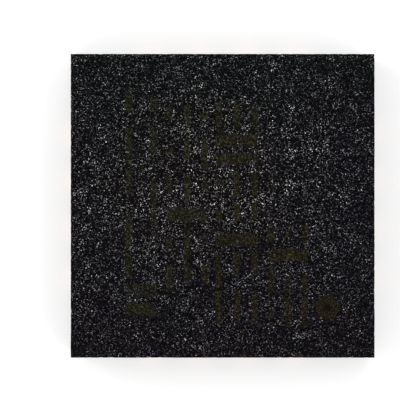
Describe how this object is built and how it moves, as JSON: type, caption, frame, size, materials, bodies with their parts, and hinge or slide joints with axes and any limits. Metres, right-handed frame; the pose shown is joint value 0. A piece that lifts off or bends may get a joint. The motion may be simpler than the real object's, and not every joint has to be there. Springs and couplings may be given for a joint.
{
  "type": "qfn chip",
  "caption": "Flat square no-lead chip package: black mould compound round an etched lead frame, a silicon die and gold bond wires, with round-ended lands underneath.",
  "frame": {"origin": "centre of the package on the seating plane, at the face of the lands", "axes": "+Z out of the marked face; +X towards the side that holds terminals 1 to 4, which count towards +Y"},
  "size_m": [0.004, 0.004, 0.0009],
  "materials": {
    "mould_compound": "silica-filled black epoxy, fine glinting grain on the marked face, smooth underneath",
    "tinned_copper": "matte tin on the lands, bare copper at the saw cuts and inside",
    "silver_epoxy": "silver-filled epoxy",
    "silicon": "polished dark grey",
    "gold": "bright drawn gold wire"
  },
  "bodies": {
    "root": {"mould_body": "mould_compound", "lead_01": "tinned_copper", "lead_02": "tinned_copper", "lead_03": "tinned_copper", "lead_04": "tinned_copper", "lead_05": "tinned_copper", "lead_06": "tinned_copper", "lead_07": "tinned_copper", "lead_08": "tinned_copper", "lead_09": "tinned_copper", "lead_10": "tinned_copper", "lead_11": "tinned_copper", "lead_12": "tinned_copper", "lead_13": "tinned_copper", "lead_14": "tinned_copper", "lead_15": "tinned_copper", "lead_16": "tinned_copper", "die_paddle": "tinned_copper", "die_attach": "silver_epoxy", "silicon_die": "silicon", "bond_wire_01": "gold", "bond_wire_02": "gold", "bond_wire_03": "gold", "bond_wire_04": "gold", "bond_wire_05": "gold", "bond_wire_06": "gold", "bond_wire_07": "gold", "bond_wire_08": "gold", "bond_wire_09": "gold", "bond_wire_10": "gold", "bond_wire_11": "gold", "bond_wire_12": "gold", "bond_wire_13": "gold", "bond_wire_14": "gold", "bond_wire_15": "gold", "bond_wire_16": "gold"}
  },
  "joints": []
}
